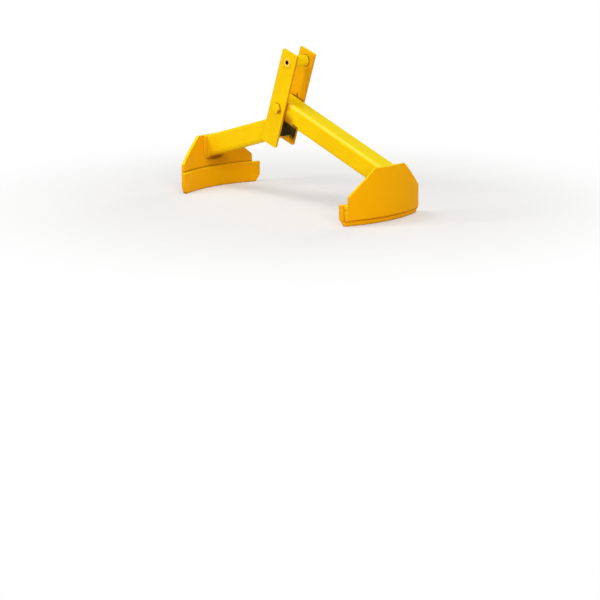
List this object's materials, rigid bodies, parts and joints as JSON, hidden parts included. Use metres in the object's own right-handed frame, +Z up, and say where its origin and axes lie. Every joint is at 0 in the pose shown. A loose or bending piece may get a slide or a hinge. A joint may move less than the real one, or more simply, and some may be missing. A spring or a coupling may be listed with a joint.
{
  "type": "drum lifter",
  "caption": "Scissor drum lifter: a fixed and a swinging square-tube arm meet between cheek plates under a lifting bar, with rolled jaws that grip below a drum's rim.",
  "frame": {"origin": "centre of the lifting bar, where the hoist's hook takes hold", "axes": "+Z up, +X towards the swinging arm's jaw, +Y to the rear, along the lifting bar"},
  "size_m": [0.6144, 0.2556, 0.3685],
  "materials": {
    "yellow_paint": "glossy enamel",
    "painted_weld": "glossy enamel over a rippled bead",
    "painted_bolt": "glossy enamel, thin at the corners",
    "bush_steel": "turned and oiled"
  },
  "bodies": {
    "frame": {"front_cheek": "yellow_paint", "rear_cheek": "yellow_paint", "lifting_bar": "yellow_paint", "front_bar_weld": "painted_weld", "rear_bar_weld": "painted_weld", "fixed_arm_tube": "yellow_paint", "front_cheek_weld": "painted_weld", "rear_cheek_weld": "painted_weld", "fixed_arm_weld": "painted_weld", "fixed_jaw_plate": "yellow_paint", "fixed_jaw_band": "yellow_paint", "fixed_band_welds": "painted_weld", "pivot_bolt": "painted_bolt", "pivot_washer": "painted_bolt", "pivot_nut": "painted_bolt"},
    "swing_arm": {"swing_arm_tube": "yellow_paint", "pivot_bush": "bush_steel", "swing_arm_weld": "painted_weld", "swing_jaw_plate": "yellow_paint", "swing_jaw_band": "yellow_paint", "swing_band_welds": "painted_weld"}
  },
  "joints": [
    {"name": "arm_pivot", "type": "hinge", "parent": "frame", "child": "swing_arm", "pos_m": [-0.03712, 0, -0.11095], "axis": [0, 1, 0], "range_deg": [-70, 6]}
  ]
}
